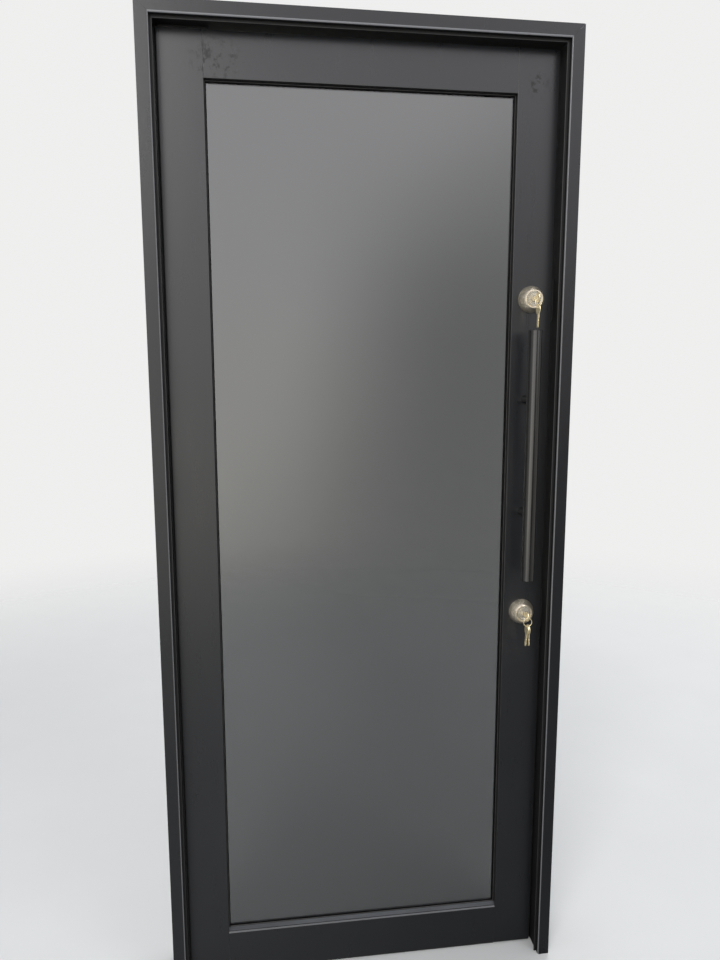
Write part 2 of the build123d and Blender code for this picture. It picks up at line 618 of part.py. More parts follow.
def build_glazing():
    x = POCKET_FLOOR - (POCKET_DEPTH - GLASS_COVER)
    low = LEAF_BOTTOM + BOTTOM_RAIL_WIDTH - GLASS_COVER
    high = LEAF_TOP - TOP_RAIL_WIDTH + GLASS_COVER
    save("glass", block((-x, x), (-GLASS_FACE, GLASS_FACE), (low, high)))
    save("outer_gasket", gasket(-1, BOTTOM_RAIL_WIDTH + SILL_EASE + SILL_RISE))
    save("inner_gasket", gasket(1, BOTTOM_RAIL_WIDTH))

    sight_low, sight_high = LEAF_BOTTOM + BOTTOM_RAIL_WIDTH, LEAF_TOP - TOP_RAIL_WIDTH
    height = sight_high - sight_low
    side_bead = bead_section(STILE_WIDTH)
    top_bead = bead_section(TOP_RAIL_WIDTH)
    bottom_bead = bead_section(BOTTOM_RAIL_WIDTH)
    beads = [run(side_bead, (-LEAF_EDGE, 0, sight_low), (1, 0, 0), height),
             run(side_bead, (LEAF_EDGE, 0, sight_high), (-1, 0, 0), height),
             run(top_bead, (-POCKET_FLOOR, 0, LEAF_TOP), (0, 0, -1), 2 * POCKET_FLOOR),
             run(bottom_bead, (POCKET_FLOOR, 0, LEAF_BOTTOM), (0, 0, 1), 2 * POCKET_FLOOR)]
    save("inner_beads", beads)
    save("sill_bead", run(sill_section(), (STILE_INNER, 0, LEAF_BOTTOM), (0, 0, 1), 2 * STILE_INNER))

    rest_low = LEAF_BOTTOM + BOTTOM_TUBE
    blocks = []
    for side in (-1, 1):
        centre = side * BLOCK_INSET
        blocks.append(block((centre - BLOCK_LENGTH / 2, centre + BLOCK_LENGTH / 2),
                            (-GLASS_FACE, GLASS_FACE), (rest_low, low)))
        for z in (LEAF_BOTTOM + BLOCK_INSET, LEAF_TOP - BLOCK_INSET):
            blocks.append(block(sorted((side * x, side * POCKET_FLOOR)), (-GLASS_FACE, GLASS_FACE),
                                (z - BLOCK_LENGTH / 2, z + BLOCK_LENGTH / 2)))
    save("glazing_blocks", blocks)


# Handles

def handle(side):
    """One round pull bar: thin tube with closed, slightly eased ends."""
    y = side * (LEAF_FACE + HANDLE_STANDOFF)
    low = HANDLE_HEIGHT - HANDLE_LENGTH / 2
    bar = rod((HANDLE_X, y, low), (0, 0, 1), HANDLE_RADIUS, HANDLE_LENGTH)
    bar = chamfer(bar.edges().filter_by(GeomType.CIRCLE), HANDLE_EASE)
    return bar - rod((HANDLE_X, y, low + HANDLE_CAP), (0, 0, 1), HANDLE_RADIUS - HANDLE_WALL,
                     HANDLE_LENGTH - 2 * HANDLE_CAP)


def post(side, height):
    """Round post, cut to the bar's own curve, with a threaded hole for the through bolt."""
    start = (HANDLE_X, side * LEAF_FACE, height)
    body = rod(start, (0, side, 0), POST_RADIUS, HANDLE_STANDOFF)
    bar_y = side * (LEAF_FACE + HANDLE_STANDOFF)
    reach = 2 * POST_RADIUS
    body -= rod((HANDLE_X, bar_y, height - reach), (0, 0, 1), HANDLE_RADIUS + FIT, 2 * reach)
    start = (HANDLE_X, side * (LEAF_FACE - 1), height)
    return body - rod(start, (0, side, 0), HANDLE_BOLT_RADIUS + FIT, 1 + POST_THREAD + RUNNING_GAP)


def build_handles():
    save("outer_handle", handle(-1))
    save("inner_handle", handle(1))
    save("handle_posts", [post(side, z) for side in (-1, 1) for z in POST_HEIGHTS])
    reach = LEAF_FACE + POST_THREAD
    save("handle_bolts", [rod((HANDLE_X, -reach, z), (0, 1, 0), HANDLE_BOLT_RADIUS, 2 * reach)
                          for z in POST_HEIGHTS])
    half = LEAF_FACE - LEAF_WALL
    sleeves = []
    for z in POST_HEIGHTS:
        bore = HANDLE_BOLT_RADIUS + 0.2
        tube = rod((HANDLE_X, -half, z), (0, 1, 0), bore + SLEEVE_WALL, 2 * half)
        sleeves.append(tube - rod((HANDLE_X, -half, z), (0, 1, 0), bore, 2 * half))
    save("handle_sleeves", sleeves)


# Locks

def case_box(height, shrink=0.0):
    """Outside of a lock case, or shrunk by its wall its inside."""
    half = CASE_THICKNESS / 2 - shrink
    return block((LEAF_EDGE - CASE_DEPTH + shrink, LEAF_EDGE - shrink), (-half, half),
                 (height - CASE_BOTTOM + shrink, height + CASE_TOP - shrink))


def lock_openings():
    """Cuts in the lock stile for the cases, the cylinders and the turns."""
    cuts = []
    for z in LOCK_HEIGHTS.values():
        half = CASE_THICKNESS / 2 + FIT
        cuts.append(block((LEAF_EDGE - GROOVE_CARRIER - 1, LEAF_EDGE + 1), (-half, half),
                          (z - CASE_BOTTOM - FIT, z + CASE_TOP + FIT)))
        cuts.append(rod((LOCK_X, -LEAF_FACE - 1, z), (0, 1, 0), CYLINDER_RADIUS + 0.5, LEAF_WALL + 2))
        cuts.append(rod((LOCK_X, LEAF_FACE + 1, z), (0, -1, 0), TURN_HUB_RADIUS + 0.5, LEAF_WALL + 2))
        for dx in (-LOCK_SCREW_OFFSET, LOCK_SCREW_OFFSET):
            cuts.append(rod((LOCK_X + dx, LEAF_FACE + 1, z), (0, -1, 0), LOCK_SCREW_RADIUS + 0.3,
                            LEAF_WALL + 2))
    return cuts


def faceplate_screws(slack=0.0):
    """Screws through the lock faceplates into the leaf's edge."""
    reach = FACEPLATE_HEIGHT / 2 - 8
    return [screw((LEAF_EDGE + FACEPLATE_THICKNESS, 0, z + dz), (-1, 0, 0), 12, slack)
            for z in LOCK_HEIGHTS.values() for dz in (-reach, reach)]


def through_screws(height, slack=0.0):
    """Long screws that draw the inner rose and the cylinder together."""
    head = LEAF_FACE + INNER_ROSE_THICKNESS
    return [screw((LOCK_X + dx, head, height), (0, -1, 0), head + LEAF_FACE + 6, slack)
            for dx in (-LOCK_SCREW_OFFSET, LOCK_SCREW_OFFSET)]


def lock_case(height):
    """Pressed steel case with its faceplate, open for the bolt, the hub and the screws."""
    case = case_box(height) - case_box(height, CASE_WALL)
    plate = block((LEAF_EDGE, LEAF_EDGE + FACEPLATE_THICKNESS),
                  (-FACEPLATE_WIDTH / 2, FACEPLATE_WIDTH / 2),
                  (height - FACEPLATE_HEIGHT / 2, height + FACEPLATE_HEIGHT / 2))
    case += fillet(plate.edges().filter_by(Axis.X), 3)
    case -= faceplate_screws(FIT)
    half_y, half_z = BOLT_THICKNESS / 2 + 0.1, BOLT_HEIGHT / 2 + 0.1
    case -= block((LEAF_EDGE - CASE_WALL - 1, LEAF_EDGE + FACEPLATE_THICKNESS + 1), (-half_y, half_y),
                  (height - half_z, height + half_z))
    case -= rod((LOCK_X, -CASE_THICKNESS, height), (0, 1, 0), HUB_RADIUS + FIT, 2 * CASE_THICKNESS)
    for dx in (-LOCK_SCREW_OFFSET, LOCK_SCREW_OFFSET):
        case -= rod((LOCK_X + dx, -CASE_THICKNESS, height), (0, 1, 0), LOCK_SCREW_RADIUS + 0.3,
                    2 * CASE_THICKNESS)
    return case


def lock_bolt(height):
    """Square bolt with a tail plate whose notch the cam works in."""
    tip = LEAF_EDGE + FACEPLATE_THICKNESS - 0.2
    back = tip - BOLT_HEAD
    head = block((back, tip), (-BOLT_THICKNESS / 2, BOLT_THICKNESS / 2),
                 (height - BOLT_HEIGHT / 2, height + BOLT_HEIGHT / 2))
    head = chamfer(head.edges().group_by(Axis.X)[-1], 1)
    half = CAM_THICKNESS / 2
    notch_x = LOCK_X - BOLT_THROW / 2
    tail_end = LEAF_EDGE - CASE_WALL - BOLT_THROW - RUNNING_GAP
    tail = block((notch_x - NOTCH_HALF - 3, tail_end), (-half, half),
                 (height + TAIL_LOW, height + TAIL_HIGH))
    tail += block((tail_end - TAIL_WEB, tail_end), (-half, half), (height - 5, height + TAIL_HIGH))
    tail += block((tail_end - TAIL_WEB, back + 4), (-half, half), (height - 5, height + TAIL_LOW))
    top = CAM_REACH + CAM_TIP_RADIUS + 0.6
    tail -= block((notch_x - NOTCH_HALF, notch_x + NOTCH_HALF), (-CAM_THICKNESS, CAM_THICKNESS),
                  (height + TAIL_LOW - 1, height + top))
    return head + tail


def lock_cam(height):
    """Hub with one slender arm, which points up and away from the leaf's edge."""
    half = CAM_THICKNESS / 2
    hub = rod((0, -CASE_THICKNESS / 2, 0), (0, 1, 0), HUB_RADIUS, CASE_THICKNESS)
    outline = Plane.XZ.offset(-half) * make_face(Polyline(
        (-2.5, 0), (2.5, 0), (1.2, CAM_REACH), (-1.2, CAM_REACH), close=True))
    arm = extrude(outline, amount=CAM_THICKNESS)
    arm += rod((0, -half, CAM_REACH), (0, 1, 0), CAM_TIP_RADIUS, CAM_THICKNESS)
    slot = block((-TAILPIECE[0] / 2 - FIT, TAILPIECE[0] / 2 + FIT), (-CASE_THICKNESS, CASE_THICKNESS),
                 (-TAILPIECE[1] / 2 - FIT, TAILPIECE[1] / 2 + FIT))
    return Pos(LOCK_X, 0, height) * (Rot(0, -45, 0) * (hub + arm) - slot)


def rose(height):
    """Hollow, slightly domed guard round the cylinder, with a flat rim and a groove inside it."""
    front = -ROSE_PROJECTION
    bore = CYLINDER_RADIUS + FIT
    rim = ROSE_FRONT_RADIUS
    foot, nose = (ROSE_RADIUS, -ROSE_FOOT), (rim + 0.6, front + 1.6)
    middle = ((foot[0] + nose[0]) / 2 + ROSE_BULGE, (foot[1] + nose[1]) / 2)
    side = ThreePointArc(foot, middle, nose)
    rest = Polyline(nose, (rim - 1, front), (bore + ROSE_GROOVE, front),
                    (bore + ROSE_GROOVE, front + ROSE_GROOVE_DEPTH), (bore, front + ROSE_GROOVE_DEPTH),
                    (bore, front + ROSE_LAND), (rim - ROSE_WALL, front + ROSE_LAND),
                    (ROSE_RADIUS - ROSE_WALL - 1, 0), (ROSE_RADIUS, 0), foot)
    shell = revolve(make_face(side + rest), axis=Axis.Y)
    return Pos(LOCK_X, -LEAF_FACE, height) * shell


def cylinder(height):
    """Cylinder body: round, bored for the plug and tapped for the through screws."""
    front = -ROSE_PROJECTION + 0.6
    back = LEAF_FACE - CASE_THICKNESS / 2 - 1.5
    bore = PLUG_RADIUS + FIT
    dish = CYLINDER_RADIUS - CYLINDER_RIM
    body = turned([(bore, front + DISH_DEPTH), (dish - DISH_DEPTH, front + DISH_DEPTH), (dish, front),
                   (CYLINDER_RADIUS - 0.8, front), (CYLINDER_RADIUS, front + 0.8),
                   (CYLINDER_RADIUS, back), (bore, back)])
    return Pos(LOCK_X, -LEAF_FACE, height) * body - through_screws(height, FIT)


def plug(height):
    """Turning plug with the key's slot in front and the tailpiece's slot behind."""
    front = -LEAF_FACE - ROSE_PROJECTION
    back = -CASE_THICKNESS / 2 - 3
    body = rod((LOCK_X, front, height), (0, 1, 0), PLUG_RADIUS, back - front)
    body = chamfer(body.edges().group_by(Axis.Y)[0], 0.4)
    body -= block((LOCK_X - KEY_THICKNESS / 2 - 0.1, LOCK_X + KEY_THICKNESS / 2 + 0.1),
                  (front - 1, front + KEY_INSERTED + 1),
                  (height - KEY_BLADE_HEIGHT / 2 - 0.1, height + KEY_BLADE_HEIGHT / 2 + 0.1))
    return body - tailpiece(height, FIT)


def tailpiece(height, slack=0.0):
    """Flat bar from the plug through the cam to the turn inside."""
    half_x, half_z = TAILPIECE[0] / 2 + slack, TAILPIECE[1] / 2 + slack
    start = -CASE_THICKNESS / 2 - 6
    return block((LOCK_X - half_x, LOCK_X + half_x), (start - slack, LEAF_FACE + 6 + slack),
                 (height - half_z, height + half_z))


def inner_rose(height):
    """Round plate under the turn, countersunk for the through screws."""
    depth = INNER_ROSE_THICKNESS
    bore = TURN_HUB_RADIUS + FIT
    plate = turned([(bore, 0), (ROSE_RADIUS, 0), (ROSE_RADIUS, depth - 3), (ROSE_RADIUS - 2, depth),
                    (bore, depth)])
    return Pos(LOCK_X, LEAF_FACE, height) * plate - through_screws(height, FIT)


def thumbturn(height):
    """Turn with a round hub and an upright wing with rounded ends."""
    start = LEAF_FACE - LEAF_WALL + 0.5
    shoulder = LEAF_FACE + INNER_ROSE_THICKNESS + 1
    hub = rod((LOCK_X, start, height), (0, 1, 0), TURN_HUB_RADIUS, shoulder - start)
    wing = Plane(origin=(LOCK_X, shoulder, height), x_dir=(0, 0, 1), z_dir=(0, 1, 0)) * SlotOverall(
        TURN_WING[1], TURN_WING[0])
    wing = extrude(wing, amount=TURN_WING[2])
    wing = chamfer(wing.edges().group_by(Axis.Y)[-1], 1.2)
    return hub + wing - tailpiece(height, FIT)


def key_shape():
    """A key in the YZ plane: tip at the origin, blade and bow along minus Y, hole at the end."""
    bow_centre = KEY_BLADE_LENGTH + KEY_BOW_RADIUS - 1
    half = KEY_BLADE_HEIGHT / 2
    cuts = [(-half + depth) for depth in (1.0, 2.2, 1.2, 2.6, 1.6, 0.8)]
    pitch = (KEY_INSERTED - 3) / len(cuts)
    points = [(0, 1.5), (0, -1.0)]
    for index, low in enumerate(cuts):
        start = 1.5 + index * pitch
        points += [(start + pitch * 0.3, low), (start + pitch * 0.75, low), (start + pitch, -half + 0.4)]
    stop = KEY_INSERTED + 0.5
    points += [(stop, -half), (stop, -half - KEY_SHOULDER), (KEY_BLADE_LENGTH + 1, -half - KEY_SHOULDER),
               (KEY_BLADE_LENGTH + 1, half), (2, half)]
    outline = make_face(Polyline(*points, close=True))
    outline += Pos(bow_centre, 0) * Circle(KEY_BOW_RADIUS)
    outline -= Pos(KEY_HOLE_FROM_TIP, 0) * Circle(KEY_HOLE_RADIUS)
    plane = Plane(origin=(KEY_THICKNESS / 2, 0, 0), x_dir=(0, -1, 0), z_dir=(-1, 0, 0))
    return extrude(plane * outline, amount=KEY_THICKNESS)


def key_tip():
    return -LEAF_FACE - ROSE_PROJECTION + KEY_INSERTED


def hanging_keys(height, ring_radius, count):
    """A ring through the inserted key's bow with the spare keys that hang on it."""
    y = key_tip() - KEY_HOLE_FROM_TIP
    ring_inner = ring_radius - WIRE_RADIUS
    centre = -KEY_HOLE_RADIUS + RUNNING_GAP - ring_inner
    pieces = [Pos(LOCK_X, y, height + centre) * Rot(90, 0, 0) * Torus(ring_radius, WIRE_RADIUS)]
    for index in range(round(count)):
        lean = index - (count - 1) / 2
        shift = lean * (KEY_THICKNESS + 1)
        widest = abs(shift) + KEY_THICKNESS / 2 + abs(lean) * 0.5
        hole_z = centre - (ring_inner ** 2 - widest ** 2) ** 0.5 + RUNNING_GAP / 2 - KEY_HOLE_RADIUS
        key = Pos(0, 0, -KEY_HOLE_FROM_TIP) * hanging_upright()
        pieces.append(Pos(LOCK_X + shift, y, height + hole_z) * Rot(0, -KEY_FAN * lean, 0) * key)
    return pieces


def hanging_upright():
    """A key standing on its tip at the origin, its flat side facing the lock's sides."""
    return Rot(-90, 0, 0) * key_shape()


def build_locks():
    screws = []
    for name, height in LOCK_HEIGHTS.items():
        save(name + "_rose", rose(height))
        save(name + "_cylinder", cylinder(height))
        save(name + "_plug", plug(height))
        save(name + "_key", Pos(LOCK_X, key_tip(), height) * key_shape())
        save(name + "_tailpiece", tailpiece(height))
        save(name + "_cam", lock_cam(height))
        save(name + "_case", lock_case(height))
        save(name + "_bolt", lock_bolt(height))
        save(name + "_inner_rose", inner_rose(height))
        save(name + "_thumbturn", thumbturn(height))
        save(name + "_key_ring", hanging_keys(height, RING_RADII[name], SPARE_KEY_COUNTS[name]))
        screws += through_screws(height)
    save("leaf_screws", screws + socket_screws() + faceplate_screws())


def save(name, shape):
    """Writes one node, a single solid or a group of them."""
    if isinstance(shape, (list, tuple)):
        shape = Compound(children=[solid for piece in shape for solid in piece.solids()])
    export_step(shape, "parts/" + name + ".step")


os.makedirs("parts", exist_ok=True)
build_frame()
build_pivots()
build_leaf_frame()
build_seals()
build_glazing()
build_handles()
build_locks()
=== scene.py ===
"""Looks for the glazed swing door: materials, floor, light and the camera.

Metres, in the same frame as the CAD model. The door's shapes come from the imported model.
"""
import json
import math

import bpy
from mathutils import Matrix, Vector

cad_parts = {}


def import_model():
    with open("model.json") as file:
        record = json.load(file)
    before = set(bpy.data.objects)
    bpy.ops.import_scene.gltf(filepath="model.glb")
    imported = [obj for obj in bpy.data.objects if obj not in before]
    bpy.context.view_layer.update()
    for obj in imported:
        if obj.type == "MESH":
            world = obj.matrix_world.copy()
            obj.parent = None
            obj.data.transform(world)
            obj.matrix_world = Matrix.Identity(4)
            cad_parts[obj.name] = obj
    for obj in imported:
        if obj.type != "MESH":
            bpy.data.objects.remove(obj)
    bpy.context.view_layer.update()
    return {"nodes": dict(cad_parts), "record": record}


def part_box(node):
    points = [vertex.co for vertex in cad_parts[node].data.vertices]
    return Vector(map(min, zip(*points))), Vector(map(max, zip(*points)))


# Camera, as solved from the straight edges in the photograph
CAMERA_PLACE = (-0.2507, -1.7779, 1.5499)
CAMERA_YAW = 0.135
CAMERA_PITCH = 0.150
CAMERA_ROLL = 0.001
FOCAL_PIXELS = 748.4
IMAGE_HEIGHT = 960
SENSOR = 36.0
CLIP_START = 0.05

# Floor: the fade is a distance from the door, and the span is where its share in gloss changes
FLOOR_RADIUS = 9.0
FLOOR_FADE = (1.9, 5.0)
FLOOR_COLOUR = (0.73, 0.735, 0.73)
FLOOR_MOTTLE = 0.97
FLOOR_ROUGHNESS = 0.85
FLOOR_GLOSS = (0.80, 0.25)
FLOOR_GLOSS_SPAN = (-0.55, 0.5)

# Lamps: place, the point it looks at, width and height, watts, colour, whether gloss shows it
LAMPS = {
    "key_lamp": ((-2.2, -4.2, 3.9), (0, 0, 1.2), (1.6, 2.6), 120, (1.0, 0.985, 0.96), True),
    "fill_lamp": ((2.8, -3.6, 2.6), (0, 0, 1.1), (2.0, 2.0), 40, (0.95, 0.98, 1.0), False),
    "back_lamp": ((2.4, 3.8, 4.6), (0, 0, 1.2), (2.4, 2.4), 110, (1, 1, 1), True),
}

# Plain surroundings, and the room that gloss sees
BACKGROUND = (0.86, 0.86, 0.855, 1)
AMBIENT = (0.60, 0.615, 0.64, 1)
SIDE_LEVELS = (0.85, 0.60)
SIDE_SPAN = (-0.6, 0.6)
GLOW_ACROSS = -0.20
GLOW_LEAN = 0.70
GLOW_SPREAD = (0.18, 0.56)
GLOW_RISE = (-0.54, -0.14)
GLOW_STRENGTH = 1.85
STRIP_ACROSS = -0.64
STRIP_SPREAD = (0.06, 0.20)
STRIP_STRENGTH = 1.6
PATCH_ACROSS = 0.60
PATCH_SPREAD = (0.05, 0.30)
PATCH_RISE = (-0.10, 0.12)
PATCH_STRENGTH = 2.6
SCREEN_ACROSS = 0.36
SCREEN_SPREAD = (0.08, 0.34)
SCREEN_RISE = (0.02, 0.34)
SCREEN_DEPTH = 0.9
ROOM_TINTS = ((1.03, 1.0, 0.93, 1), (1.0, 0.985, 1.03, 1))
ROOM_TINT_RISE = (-0.2, 0.3)
SMALLEST_FLAT = 0.01

# Powder coat
LEAF_PAINT = (0.0108, 0.0114, 0.0126)
# The frame wears the leaf's coat; its colour here is the leaf's made about a fifth darker, as painted
# shade
FRAME_PAINT_SHADED = (0.0084, 0.0089, 0.0100)
PAINT_CLOUD = 1.25
# Lighter colour of the edges: partly wear, partly a painted highlight on them
ARRIS_WEAR_AND_HIGHLIGHT = (0.085, 0.082, 0.081, 1)
# Colour of the painted highlight on the frame's rounded inner edge
LIT_ARRIS = (0.22, 0.22, 0.23, 1)
STAIN = (0.001, 0.001, 0.001, 1)
# Colour of the painted shade in the frame's opening and on the walls round the pane
RECESS_SHADE = (0.002, 0.002, 0.002, 1)
DUST = (0.110, 0.118, 0.130, 1)
FRAME_SPECULAR = 0.40

# Worn edges, which also carry a painted highlight: between which values the mark changes, and its
# share at both
WEAR_AND_HIGHLIGHT_BY_CLOUD = (0.25, 0.60, 0.55, 1.0)
WEAR_AND_HIGHLIGHT_BY_HEIGHT = (0.1, 1.4, 0.35, 1.0)
RUB_AND_HIGHLIGHT_STRENGTH = 0.8

# Upward part of a face's normal where dust begins and is full
FACING_UP = (0.35, 0.9)

# Largest part of a normal on a fully rounded edge and on a flat face
ROUNDED = (0.80, 0.97)

# What each mark of use, and the painted shade in recesses, adds to the powder coat's roughness
STAIN_ROUGH = 0.32
DUST_ROUGH = 0.25
EDGE_ROUGH = -0.10
RECESS_SHADE_ROUGH = 0.35

# Stains: cells a metre, the noise where they begin and are full, and their strength
MARKED_STAINS = (75.0, (0.52, 0.60), 0.95)
FAINT_STAINS = (42.0, (0.50, 0.66), 0.12)

# Stained places: how far each lies across and up from its corner or lock, and its reach each way
STAIN_MARKS = (
    ((0.028, -0.062), (0.085, 0.2, 0.075)),
    ((-0.05, -0.075), (0.035, 0.2, 0.05)),
    ((-0.015, -0.085), (0.05, 0.2, 0.07)),
)

# Share of a stained place's reach over which it is full
MARK_CORE = 0.3

# Frame: width of its faces, and distances in from their outer edges where masks begin and end
FRAME_FACE = 0.029
RECESS_DEPTH = (0.003, 0.011)
RECESS_SIDE = (0.003, 0.010)
RUB_AND_HIGHLIGHT_DEPTH = (0.0004, 0.0016)
RUB_AND_HIGHLIGHT_EDGE = (FRAME_FACE - 0.0034, FRAME_FACE - 0.0012)
LIT_DEPTH = (0.0024, 0.0030)
LIT_EDGE = (FRAME_FACE - 0.0040, FRAME_FACE - 0.0026)
LIT_ENDS = (FRAME_FACE - 0.003, FRAME_FACE)

# Painted shade round the pane: distances past the opening, in from the leaf's face and up from its
# foot
POCKET_PAST = (0.0001, 0.0006)
POCKET_IN = (0.0008, 0.0014)
POCKET_UP = (0.006, 0.012)

# Pull bars, pane, gasket and pile
HANDLE_BLACK = (0.0045, 0.0045, 0.0045)
HANDLE_RUBBED = 1.9
HANDLE_IOR = 1.6
# The pane's dark grey tint is painted shade: it darkens what is seen through it as a dark room behind
# would
GLASS_SHADE_TINT = (0.130, 0.133, 0.133, 1)
GLASS_IOR = 1.65
# Colour of the painted highlight on the gasket's rounded edges
RUBBER_EDGE_HIGHLIGHT = (0.13, 0.125, 0.12, 1)
RUBBER_SPECULAR = 0.1
PILE_SHEEN = 0.1

# Turned metals of the locks: marks are rings a metre, rough is (bright, dull)
NICKEL = {"tint": (0.80, 0.72, 0.57), "marks": 1400.0, "rough": (0.24, 0.36), "groove": 0.0,
          "metal": 0.85}
LOCK_FACE = {"tint": (0.82, 0.76, 0.64), "marks": 330.0, "rough": (0.22, 0.34), "groove": 1.0,
             "metal": 0.5}
GROOVE_DIRT = (0.03, 0.028, 0.024, 1)
TURNED_DULL = 0.62
RING_LEAN = 0.6

# Plain metals: tint, roughness (bright, dull), tarnish cells a metre, metallic share
WORN_METALS = {
    "key_metal": ((1.0, 0.86, 0.54), (0.20, 0.34), 300.0, 0.6),
    "zinc_steel": ((0.52, 0.53, 0.52), (0.30, 0.48), 90.0, 1.0),
    "pin_steel": ((0.56, 0.56, 0.57), (0.20, 0.32), 90.0, 1.0),
    "bare_aluminium": ((0.72, 0.73, 0.74), (0.32, 0.5), 60.0, 1.0),
    "screw_steel": ((0.20, 0.20, 0.20), (0.3, 0.45), 200.0, 1.0),
}
WORN_DULL = 0.6

# Plain dark pieces: their tone, and how much lighter their mottle is
MOULDED_TONES = {"plastic": 0.02, "black_steel": 0.010}
MOTTLE = 1.4


def new_material(name):
    """A node material, its tree and its main shader."""
    material = bpy.data.materials.new(name)
    material.use_nodes = True
    tree = material.node_tree
    return material, tree, tree.nodes["Principled BSDF"]


def link(tree, output, target):
    """Joins an output to an input."""
    tree.links.new(output, target)


def feed(tree, socket, value):
    """Joins an output to a socket, or sets a plain value on it."""
    if isinstance(value, bpy.types.NodeSocket):
        link(tree, value, socket)
    else:
        socket.default_value = value


def scaled(colour, share):
    """A colour times a share."""
    return tuple(part * share for part in colour)


def place(tree, scale=(1, 1, 1), shift=(0, 0, 0), turn=(0, 0, 0)):
    """Object coordinates in metres, moved and stretched."""
    source = tree.nodes.new("ShaderNodeTexCoord")
    mapping = tree.nodes.new("ShaderNodeMapping")
    mapping.inputs["Scale"].default_value = scale
    mapping.inputs["Location"].default_value = shift
    mapping.inputs["Rotation"].default_value = turn
    link(tree, source.outputs["Object"], mapping.inputs["Vector"])
    return mapping.outputs["Vector"]


def noise(tree, vector, cells, detail, roughness=0.55):
    """Noise over a coordinate, with so many cells a metre."""
    node = tree.nodes.new("ShaderNodeTexNoise")
    node.inputs["Scale"].default_value = cells
    node.inputs["Detail"].default_value = detail
    node.inputs["Roughness"].default_value = roughness
    link(tree, vector, node.inputs["Vector"])
    return node.outputs["Fac"]


def ramp(tree, factor, stops):
    """A colour ramp from (place, colour) stops; a plain number is a grey."""
    node = tree.nodes.new("ShaderNodeValToRGB")
    elements = node.color_ramp.elements
    while len(elements) < len(stops):
        elements.new(0.5)
    for element, (position, colour) in zip(elements, stops):
        element.position = position
        plain = isinstance(colour, (int, float))
        element.color = (colour, colour, colour, 1) if plain else (*colour, 1)
    link(tree, factor, node.inputs["Fac"])
    return node.outputs["Color"]


def mix(tree, factor, first, second, blend="MIX"):
    """A colour mix; each side is an output or a colour."""
    node = tree.nodes.new("ShaderNodeMix")
    node.data_type = "RGBA"
    node.blend_type = blend
    for socket, value in ((node.inputs[0], factor), (node.inputs[6], first), (node.inputs[7], second)):
        feed(tree, socket, value)
    return node.outputs[2]


def maths(tree, operation, *values):
    """A math node over outputs and numbers."""
    node = tree.nodes.new("ShaderNodeMath")
    node.operation = operation
    for socket, value in zip(node.inputs, values):
        feed(tree, socket, value)
    return node.outputs[0]


def chain(tree, operation, values):
    """One math operation over a list of outputs, from first to last."""
    result = values[0]
    for value in values[1:]:
        result = maths(tree, operation, result, value)
    return result


def grey(tree, value):
    """One number as a colour, not held to one."""
    node = tree.nodes.new("ShaderNodeCombineColor")
    for socket in node.inputs:
        link(tree, value, socket)
    return node.outputs["Color"]


def fade(tree, value, low, high, first=0.0, last=1.0):
    """A smooth step of a value between two places, from a first to a last result."""
    node = tree.nodes.new("ShaderNodeMapRange")
    node.interpolation_type = "SMOOTHSTEP"
    for socket, number in zip(node.inputs[1:5], (low, high, first, last)):
        socket.default_value = number
    link(tree, value, node.inputs["Value"])
    return node.outputs["Result"]


def fall(tree, value, low, high):
    """A smooth step down, from one to nothing."""
    return fade(tree, value, low, high, 1.0, 0.0)


def bump(tree, height, strength, distance, under=None):
    """A bumped normal, over another one where there is one."""
    node = tree.nodes.new("ShaderNodeBump")
    node.inputs["Strength"].default_value = strength
    node.inputs["Distance"].default_value = distance
    link(tree, height, node.inputs["Height"])
    if under is not None:
        link(tree, under, node.inputs["Normal"])
    return node.outputs["Normal"]


def length(tree, vector):
    """A vector's length."""
    node = tree.nodes.new("ShaderNodeVectorMath")
    node.operation = "LENGTH"
    link(tree, vector, node.inputs[0])
    return node.outputs["Value"]


def components(tree, vector):
    """A vector's three parts."""
    split = tree.nodes.new("ShaderNodeSeparateXYZ")
    link(tree, vector, split.inputs["Vector"])
    return [split.outputs[axis] for axis in "XYZ"]


def near(tree, centre, reach):
    """One round a point, falling to nothing at its reach in each direction."""
    scale = tuple(1 / way for way in reach)
    shift = tuple(-part / way for part, way in zip(centre, reach))
    return fall(tree, length(tree, place(tree, scale=scale, shift=shift)), MARK_CORE, 1.0)


def upward(tree):
    """One on faces that look up, where dust settles."""
    geometry = tree.nodes.new("ShaderNodeNewGeometry")
    return fade(tree, components(tree, geometry.outputs["Normal"])[2], *FACING_UP)


def arris(tree):
    """One on rounded edges and nothing on flat faces; it stays with a piece that moves."""
    normal = tree.nodes.new("ShaderNodeTexCoord").outputs["Normal"]
    parts = [maths(tree, "ABSOLUTE", part) for part in components(tree, normal)]
    return fall(tree, chain(tree, "MAXIMUM", parts), *ROUNDED)


def inward(tree, corner):
    """How far in from the frame's outer corner: from its sides, its faces and its top."""
    parts = components(tree, place(tree))
    return [maths(tree, "SUBTRACT", limit, maths(tree, "ABSOLUTE", part))
            for limit, part in zip(corner, parts)]


def recess(tree, corner):
    """One inside the frame's opening, nothing on its outer faces: where shade is painted in."""
    side, depth, down = inward(tree, corner)
    return chain(tree, "MULTIPLY", [fade(tree, depth, *RECESS_DEPTH), fade(tree, side, *RECESS_SIDE),
                                    fade(tree, down, *RECESS_SIDE)])


def rubbed_and_highlit_edge(tree, corner):
    """One along the inner edge of the frame's faces, which hands and shoulders rub; it also carries a
    painted highlight.
    """
    side, depth, down = inward(tree, corner)
    edge = fade(tree, maths(tree, "MINIMUM", side, down), *RUB_AND_HIGHLIGHT_EDGE)
    return maths(tree, "MULTIPLY", fall(tree, depth, *RUB_AND_HIGHLIGHT_DEPTH), edge)


